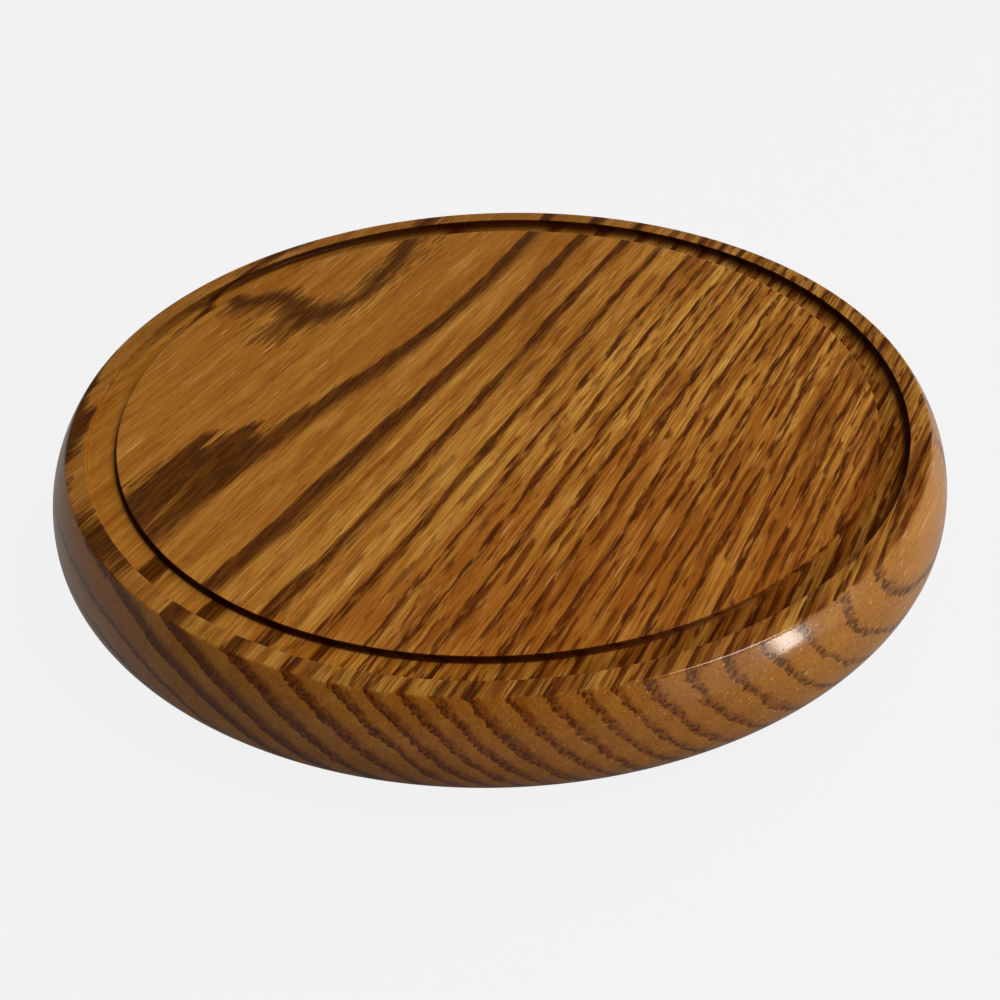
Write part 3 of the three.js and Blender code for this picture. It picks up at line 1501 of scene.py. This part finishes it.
@dataclass
class TurnedBoard:
    """The board: one plank turned on a lathe, with a dome groove and a swelled edge. Sizes are in mm."""

    radius: float = 115.0
    base_height: float = 5.0
    thickness: float = 27.0
    edge_swell: float = 5.6
    swell_depth: float = 16.1
    underside_reach: float = 10.9
    rim_width: float = 5.2
    groove_width: float = 7.2
    groove_depth: float = 1.6
    floor_round: float = 0.7
    lip_round: float = 0.35
    rim_corner_round: float = 0.8
    flat_margin: float = 0.3
    sides: int = 384
    arc_steps: int = 18
    round_segments: int = 4
    pilot_radius: float = 1.8
    pilot_shoulder: float = 16.6
    pilot_point: float = 1.08
    pilot_sides: int = 32
    foot_places: tuple[tuple[float, float], ...] = ()

    def outline(self) -> Outline:
        """Draws the board's section.

        Returns:
            The chain from the middle of the base, round the edge, to the middle of the top.
        """
        top = self.base_height + self.thickness
        widest = top - self.swell_depth
        base_flat = self.radius - self.underside_reach
        rim_radius = self.radius - self.edge_swell
        outer = rim_radius - self.rim_width
        inner = outer - self.groove_width
        floor = top - self.groove_depth
        swell_radius = (self.swell_depth**2 + self.edge_swell**2) / (2 * self.edge_swell)
        meeting = math.degrees(math.asin(self.swell_depth / swell_radius))
        section = Outline((0, self.base_height))
        section.line(base_flat - self.flat_margin, self.base_height)
        section.line(base_flat, self.base_height)
        section.arc((base_flat, widest), 90, self.arc_steps)
        rim_corner = section.arc((self.radius - swell_radius, widest), meeting, self.arc_steps)
        corner_reach = self.rim_corner_round * math.tan(math.radians(90 - meeting) / 2)
        section.line(rim_radius - corner_reach - self.flat_margin, top)
        section.line(outer + self.lip_round + self.flat_margin, top)
        outer_lip = section.line(outer, top)
        outer_floor = section.line(outer, floor)
        inner_floor = section.line(inner, floor)
        inner_lip = section.line(inner, top)
        section.line(inner - self.lip_round - self.flat_margin, top)
        section.line(0, top)
        section.round(
            {
                rim_corner: corner_reach,
                outer_lip: self.lip_round,
                outer_floor: self.floor_round,
                inner_floor: self.floor_round,
                inner_lip: self.lip_round,
            },
            self.round_segments,
        )
        return section

    def drill(self, place: tuple[float, float]) -> bpy.types.Object:
        """Makes the shape of a drill, with its pointed end, that is driven up from below.

        Args:
            place: Where it goes in, as x and y.

        Returns:
            The cutter.
        """
        section = Outline((0, self.base_height - 1))
        section.line(self.pilot_radius, self.base_height - 1)
        section.line(self.pilot_radius, self.pilot_shoulder)
        section.line(0, self.pilot_shoulder + self.pilot_point)
        drill = section.turn(self.pilot_sides)
        bmesh.ops.translate(drill, verts=drill.verts, vec=Vector((place[0], place[1], 0)) * MM)
        return finished_object("pilot_drill", drill, 30)

    def build(self, finish: bpy.types.Material) -> bpy.types.Object:
        """Makes the board and dresses it.

        Args:
            finish: The varnished oak.

        Returns:
            The piece that stands for the CAD board.
        """
        board = finished_object("turned_board", self.outline().turn(self.sides), 40)
        for place in self.foot_places:
            carve(board, self.drill(place), 40)
        board.data.materials.clear()
        board.data.materials.append(finish)
        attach(board, BODY)
        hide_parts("board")
        return board


@dataclass
class ScrewedFoot:
    """One foot: a rubber bumper, the washer in its pocket and the wood screw. Sizes are in mm."""

    corner: Corner
    place: tuple[float, float]
    height: float = 5.0
    top_radius: float = 8.0
    bottom_radius: float = 6.8
    toe_round: float = 0.8
    brow_round: float = 0.3
    flange_height: float = 1.0
    flange_step: float = 0.25
    web: float = 1.5
    hole_radius: float = 1.8
    washer_radius: float = 4.2
    washer_thickness: float = 0.8
    running_gap: float = 0.3
    screw_length: float = 12.7
    shank_radius: float = 1.5
    core_radius: float = 1.05
    thread_pitch: float = 1.41
    thread_share: float = 0.66
    point_length: float = 3.2
    head_radius: float = 3.3
    head_height: float = 1.7
    head_rim: float = 0.6
    recess_reach: float = 1.75
    recess_width: float = 0.75
    recess_depth: float = 1.15
    sides: int = 64
    thread_sides: int = 24

    @property
    def washer_top(self) -> float:
        """Height of the washer's upper face."""
        return self.height - self.web

    @property
    def washer_bottom(self) -> float:
        """Height of the washer's lower face, which the screw's head bears on."""
        return self.washer_top - self.washer_thickness

    def set_down(self, mesh: bmesh.types.BMesh) -> bmesh.types.BMesh:
        """Moves a shape from the middle of the board to the foot's own place."""
        bmesh.ops.translate(mesh, verts=mesh.verts, vec=Vector((self.place[0], self.place[1], 0)) * MM)
        return mesh

    def bumper(self) -> bpy.types.Object:
        """Makes the rubber bumper.

        Returns:
            A tapered bumper with a stepped flange, a rounded toe and a pocket.
        """
        pocket = self.washer_radius + self.running_gap
        slope = (self.top_radius - self.bottom_radius) / self.height
        step_height = self.height - self.flange_height
        section = Outline((pocket, self.washer_top))
        first = section.end
        pocket_edge = section.line(pocket, 0)
        toe = section.line(self.bottom_radius, 0)
        waist = self.top_radius - slope * self.flange_height - self.flange_step
        step_inner = section.line(waist, step_height)
        step_outer = section.line(waist + self.flange_step, step_height)
        brow = section.line(self.top_radius, self.height)
        section.line(self.hole_radius, self.height)
        section.line(self.hole_radius, self.washer_top)
        section.close(first)
        section.round(
            {
                toe: self.toe_round,
                pocket_edge: 0.2,
                step_inner: 0.08,
                step_outer: 0.08,
                brow: self.brow_round,
            },
            4,
        )
        return finished_object(f"bumper_{self.corner.value}", self.set_down(section.turn(self.sides)), 40)

    def washer(self) -> bpy.types.Object:
        """Makes the washer.

        Returns:
            A stamped ring whose edges are eased on the side that the punch entered.
        """
        section = Outline((self.hole_radius, self.washer_bottom))
        first = section.end
        rim = section.line(self.washer_radius, self.washer_bottom)
        back = section.line(self.washer_radius, self.washer_top)
        section.line(self.hole_radius, self.washer_top)
        section.close(first)
        section.round({first: 0.08, rim: 0.15, back: 0.04}, 3)
        return finished_object(f"washer_{self.corner.value}", self.set_down(section.turn(self.sides)), 40)

    def screw_body(self) -> bmesh.types.BMesh:
        """Turns the screw's head, shank and threadless core.

        Returns:
            The turned shape, on the axis.
        """
        tip = self.washer_bottom + self.screw_length
        thread_start = tip - self.screw_length * self.thread_share
        crown = self.washer_bottom - self.head_height
        dome = self.head_height - self.head_rim
        dome_radius = (self.head_radius**2 + dome**2) / (2 * dome)
        half_angle = math.degrees(math.asin(self.head_radius / dome_radius))
        section = Outline((0, crown))
        dome_edge = section.arc((0, crown + dome_radius), half_angle, 10)
        under = section.line(self.head_radius, self.washer_bottom)
        section.line(self.shank_radius, self.washer_bottom)
        section.line(self.shank_radius, thread_start)
        section.line(self.core_radius, thread_start + 0.5)
        section.line(self.core_radius, tip - self.point_length)
        section.line(0, tip)
        section.round({dome_edge: 0.2, under: 0.08}, 3)
        return section.turn(self.sides)

    def thread(self) -> bmesh.types.BMesh:
        """Winds the thread as a helical ridge that runs out at the point.

        Returns:
            The closed ridge, on the axis.
        """
        tip = self.washer_bottom + self.screw_length
        length = self.screw_length * self.thread_share
        turns = length / self.thread_pitch
        steps = round(turns * self.thread_sides)
        base = tip - length
        ridge = bmesh.new()
        half = self.thread_pitch * 0.28
        crest = self.shank_radius + 0.2
        corners = ((self.core_radius - 0.1, -half), (crest, 0.0), (self.core_radius - 0.1, half))
        section = [ridge.verts.new((r * MM, 0, (base + z) * MM)) for r, z in corners]
        first = ridge.faces.new(section)
        bmesh.ops.spin(
            ridge,
            geom=[first],
            cent=(0, 0, 0),
            axis=Z_AXIS,
            dvec=(0, 0, self.thread_pitch * MM / self.thread_sides),
            angle=2 * math.pi * steps / self.thread_sides,
            steps=steps,
        )
        point_base = (tip - self.point_length) * MM
        for vert in ridge.verts:
            beyond = max(0.0, vert.co.z - point_base) / (self.point_length * MM)
            shrink = max(0.02, 1.0 - beyond)
            vert.co.x *= shrink
            vert.co.y *= shrink
        return ridge

    def recess(self) -> bpy.types.Object:
        """Makes the cross-shaped driver that leaves the recess in the head.

        Returns:
            The cutter, in place.
        """
        crown = self.washer_bottom - self.head_height
        cross = bmesh.new()
        for quarter in (0, 1):
            blade = bmesh.ops.create_cube(cross, size=1.0)["verts"]
            bmesh.ops.scale(
                cross,
                verts=blade,
                vec=Vector((2 * self.recess_reach, self.recess_width, 2 * self.recess_depth)) * MM,
            )
            for vert in blade:
                if vert.co.z > 0:
                    vert.co.x *= 0.35
            bmesh.ops.rotate(
                cross, verts=blade, cent=(0, 0, 0), matrix=Matrix.Rotation(math.pi / 2 * quarter, 3, "Z")
            )
        spin = Matrix.Rotation(math.radians(20 + 35 * list(Corner).index(self.corner)), 3, "Z")
        bmesh.ops.rotate(cross, verts=cross.verts, cent=(0, 0, 0), matrix=spin)
        bmesh.ops.translate(cross, verts=cross.verts, vec=(0, 0, crown * MM))
        data = bpy.data.meshes.new("driver")
        self.set_down(cross).to_mesh(data)
        cross.free()
        driver = bpy.data.objects.new("driver", data)
        bpy.context.scene.collection.objects.link(driver)
        return driver

    def screw(self) -> bpy.types.Object:
        """Makes the wood screw.

        Returns:
            A cross-recess pan-head screw with its thread.
        """
        body = finished_object(f"screw_{self.corner.value}", self.set_down(self.screw_body()), 40)
        driver = self.recess()
        cut = body.modifiers.new("cut", "BOOLEAN")
        cut.operation = "DIFFERENCE"
        cut.solver = "EXACT"
        cut.use_self = True
        cut.object = driver
        bpy.context.view_layer.update()
        evaluated = body.evaluated_get(bpy.context.evaluated_depsgraph_get())
        data = bpy.data.meshes.new_from_object(evaluated)
        body.modifiers.clear()
        body.data = data
        bpy.data.objects.remove(driver)
        whole = bmesh.new()
        whole.from_mesh(data)
        ridge = bpy.data.meshes.new("thread")
        threaded = self.set_down(self.thread())
        bmesh.ops.recalc_face_normals(threaded, faces=threaded.faces)
        threaded.to_mesh(ridge)
        threaded.free()
        whole.from_mesh(ridge)
        whole.to_mesh(data)
        whole.free()
        bpy.data.meshes.remove(ridge)
        data.shade_smooth()
        data.set_sharp_from_angle(angle=math.radians(40))
        return body

    def build(self, rubber: bpy.types.Material, steel: bpy.types.Material) -> list[bpy.types.Object]:
        """Makes the foot's three pieces and dresses them.

        Args:
            rubber: The bumper's finish.
            steel: The finish of washer and screw.

        Returns:
            Bumper, washer and screw.
        """
        pieces = []
        for piece, node, finish, slot in (
            (self.bumper(), f"foot_{self.corner.value}", rubber, Slot.RUBBER),
            (self.washer(), f"foot_washer_{self.corner.value}", steel, Slot.STEEL),
            (self.screw(), f"foot_screw_{self.corner.value}", steel, Slot.STEEL),
        ):
            piece.data.materials.clear()
            piece.data.materials.append(finish)
            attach(piece, BODY)
            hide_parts(node)
            pieces.append(piece)
        return pieces


@dataclass
class Studio:
    """Camera, lamps, floor and background."""

    elevation_deg: float = 33.03
    distance: float = 413.7
    pitch_deg: float = -3.457
    roll_deg: float = -2.12
    lens_mm: float = 57.56
    rim_height: float = 32.0
    background: str = "f3f3f3"
    ceiling: str = "464648"
    floor_tone: str = "8c8c8c"
    floor_glow: str = "fdfdfd"
    floor_radius: float = 6000.0
    room_light: float = 0.37
    shine_in_front: float = 0.12
    shine_behind: float = 0.4

    def camera(self) -> bpy.types.Object:
        """Places the camera where the photograph was taken from.

        Returns:
            The scene's camera.
        """
        data = bpy.data.cameras.new("photo_camera")
        data.lens = self.lens_mm
        data.sensor_width = 36
        data.clip_end = 50
        camera = bpy.data.objects.new("photo_camera", data)
        rise = math.radians(self.elevation_deg)
        spot = Vector(
            (0, -math.cos(rise) * self.distance, math.sin(rise) * self.distance + self.rim_height)
        )
        tilt = Matrix.Rotation(math.pi / 2 - rise + math.radians(self.pitch_deg), 4, "X")
        roll = Matrix.Rotation(math.radians(self.roll_deg), 4, "Z")
        camera.matrix_world = Matrix.Translation(spot * MM) @ tilt @ roll
        bpy.context.scene.collection.objects.link(camera)
        bpy.context.scene.camera = camera
        return camera

    def sky_lamp(
        self,
        name: str,
        azimuth_deg: float,
        elevation_deg: float,
        strength: float,
        spread_deg: float,
        colour: str,
    ) -> None:
        """Adds a distant soft lamp.

        Args:
            name: The lamp's name.
            azimuth_deg: Where it stands, counted from +x to +y.
            elevation_deg: How high it stands.
            strength: Its light on a surface that faces it.
            spread_deg: How wide it looks.
            colour: Its colour.
        """
        data = bpy.data.lights.new(name, "SUN")
        data.energy = strength
        data.angle = math.radians(spread_deg)
        data.color = linear(colour)[:3]
        lamp = bpy.data.objects.new(name, data)
        lamp.visible_glossy = False
        turn = Matrix.Rotation(math.radians(azimuth_deg + 90), 4, "Z")
        tilt = Matrix.Rotation(math.radians(90 - elevation_deg), 4, "X")
        lamp.matrix_world = turn @ tilt
        bpy.context.scene.collection.objects.link(lamp)

    def soft_box(
        self,
        name: str,
        azimuth_deg: float,
        elevation_deg: float,
        power: float,
        size: tuple[float, float],
        colour: str,
    ) -> None:
        """Adds a rectangular lamp that faces the board.

        Args:
            name: The lamp's name.
            azimuth_deg: Where it stands, counted from +x to +y.
            elevation_deg: How high it stands.
            power: Its power in watts.
            size: Its width and height in metres.
            colour: Its colour.
        """
        away = 1.2
        data = bpy.data.lights.new(name, "AREA")
        data.shape = "RECTANGLE"
        data.size, data.size_y = size
        data.energy = power
        data.color = linear(colour)[:3]
        lamp = bpy.data.objects.new(name, data)
        lamp.visible_camera = False
        turn = Matrix.Rotation(math.radians(azimuth_deg + 90), 4, "Z")
        tilt = Matrix.Rotation(math.radians(90 - elevation_deg), 4, "X")
        lamp.matrix_world = turn @ tilt @ Matrix.Translation((0, 0, away))
        bpy.context.scene.collection.objects.link(lamp)

    def world(self) -> None:
        """Sets the room's even light, and what the camera and shiny surfaces see of it.

        They see a plain pale sheet all round up to a low height, and a dim ceiling over it.
        """
        world = bpy.data.worlds.new("room")
        bpy.context.scene.world = world
        world.use_nodes = True
        tree = world.node_tree
        tree.nodes.clear()
        path = add_node(tree, "ShaderNodeLightPath")
        through = add_node(
            tree,
            "ShaderNodeMath",
            {"operation": "MAXIMUM"},
            {0: path.outputs["Is Camera Ray"], 1: path.outputs["Is Transmission Ray"]},
        )
        seen = add_node(
            tree,
            "ShaderNodeMath",
            {"operation": "MAXIMUM"},
            {0: through.outputs[0], 1: path.outputs["Is Glossy Ray"]},
        )
        direction = add_node(tree, "ShaderNodeTexCoord")
        axes = add_node(tree, "ShaderNodeSeparateXYZ", links={0: direction.outputs["Generated"]})
        shine = add_node(
            tree,
            "ShaderNodeMapRange",
            {
                "interpolation_type": "SMOOTHSTEP",
                "From Min": -0.35,
                "From Max": 0.15,
                "To Min": self.shine_in_front,
                "To Max": self.shine_behind,
            },
            {"Value": axes.outputs["Y"]},
        )
        strength = add_node(
            tree,
            "ShaderNodeMapRange",
            {"To Min": 1.0},
            {"Value": path.outputs["Is Glossy Ray"], "To Max": shine.outputs["Result"]},
        )
        height = add_node(
            tree,
            "ShaderNodeMapRange",
            {
                "interpolation_type": "SMOOTHSTEP",
                "From Min": math.sin(math.radians(14)),
                "From Max": math.sin(math.radians(27)),
            },
            {"Value": axes.outputs["Z"]},
        )
        overhead = add_node(
            tree,
            "ShaderNodeMath",
            {"operation": "MULTIPLY"},
            {0: height.outputs["Result"], 1: path.outputs["Is Glossy Ray"]},
        )
        tone = add_node(
            tree,
            "ShaderNodeMix",
            {"data_type": "RGBA", 6: linear(self.background), 7: linear(self.ceiling)},
            {0: overhead.outputs[0]},
        )
        room = add_node(
            tree, "ShaderNodeBackground", {"Color": linear("f2f4f8"), "Strength": self.room_light}
        )
        sheet = add_node(
            tree,
            "ShaderNodeBackground",
            links={"Color": tone.outputs[2], "Strength": strength.outputs["Result"]},
        )
        mixed = add_node(
            tree,
            "ShaderNodeMixShader",
            links={0: seen.outputs[0], 1: room.outputs[0], 2: sheet.outputs[0]},
        )
        add_node(tree, "ShaderNodeOutputWorld", links={"Surface": mixed.outputs[0]})

    def floor(self) -> bpy.types.Object:
        """Lays the plain pale floor, which keeps a faint shadow of the object.

        Returns:
            The floor.
        """
        disc = bmesh.new()
        bmesh.ops.create_circle(disc, cap_ends=True, segments=96, radius=self.floor_radius * MM)
        data = bpy.data.meshes.new("floor")
        disc.to_mesh(data)
        disc.free()
        floor = bpy.data.objects.new("floor", data)
        bpy.context.scene.collection.objects.link(floor)
        material = new_material("pale_paper_floor")
        tree = material.node_tree
        path = add_node(tree, "ShaderNodeLightPath")
        paper = add_node(tree, "ShaderNodeBsdfDiffuse", {"Color": linear(self.floor_tone)})
        glow = add_node(tree, "ShaderNodeEmission", {"Color": linear(self.floor_glow), "Strength": 1.0})
        through = add_node(
            tree,
            "ShaderNodeMath",
            {"operation": "MAXIMUM"},
            {0: path.outputs["Is Camera Ray"], 1: path.outputs["Is Transmission Ray"]},
        )
        place = add_node(tree, "ShaderNodeTexCoord")
        axes = add_node(tree, "ShaderNodeSeparateXYZ", links={0: place.outputs["Object"]})
        # In reflections the floor glows, dimmer in front of the board: a painted reflection with a painted
        # shadow in front
        shine = add_node(
            tree,
            "ShaderNodeMapRange",
            {
                "interpolation_type": "SMOOTHSTEP",
                "From Min": -115 * MM,
                "From Max": -40 * MM,
                "To Min": 0.05,
                "To Max": 0.25,
            },
            {"Value": axes.outputs["Y"]},
        )
        glossy = add_node(
            tree,
            "ShaderNodeMath",
            {"operation": "MULTIPLY"},
            {0: path.outputs["Is Glossy Ray"], 1: shine.outputs["Result"]},
        )
        seen = add_node(
            tree,
            "ShaderNodeMath",
            {"operation": "MULTIPLY_ADD", 1: 0.88},
            {0: through.outputs[0], 2: glossy.outputs[0]},
        )
        mixed = add_node(
            tree,
            "ShaderNodeMixShader",
            links={0: seen.outputs[0], 1: paper.outputs[0], 2: glow.outputs[0]},
        )
        add_node(tree, "ShaderNodeOutputMaterial", links={"Surface": mixed.outputs[0]})
        data.materials.append(material)
        return floor

    def build(self) -> None:
        """Sets up camera, lamps, background and floor."""
        self.camera()
        self.sky_lamp("back_window", 45, 42, 1.05, 40, "fff8f0")
        self.soft_box("right_window_low", -26.5, 14, 3.0, (0.13, 0.32), "fffaf4")
        self.soft_box("right_window_high", -21.5, 50, 7.6, (0.24, 0.6), "fffaf4")
        self.soft_box("right_wall", -30, 12, 2.4, (1.2, 0.8), "fff6ea")
        self.world()
        self.floor()
        bpy.context.scene.view_settings.view_transform = "Standard"


def foot_place(corner: Corner, circle_radius: float = 78.0) -> tuple[float, float]:
    """Gives a foot's place under the base.

    Args:
        corner: Which foot.
        circle_radius: Radius of the circle that all the feet stand on, in mm.

    Returns:
        x and y in mm.
    """
    angle = math.radians(45 + 90 * list(Corner).index(corner))
    return (circle_radius * math.cos(angle), circle_radius * math.sin(angle))


def main() -> None:
    """Builds the whole scene, keeping the imported CAD parts hidden."""
    logging.basicConfig(level=logging.INFO, format="%(message)s")
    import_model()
    oak = StainedOak().build()
    rubber = MouldedRubber().build()
    steel = ZincPlate().build()
    places = {corner: foot_place(corner) for corner in Corner}
    board = TurnedBoard(foot_places=tuple(places.values())).build(oak)
    log.info("%s: %d faces", board.name, len(board.data.polygons))
    for corner, place in places.items():
        for piece in ScrewedFoot(corner, place).build(rubber, steel):
            log.info("%s: %d faces", piece.name, len(piece.data.polygons))
    Studio().build()


if __name__ == "__main__":
    main()
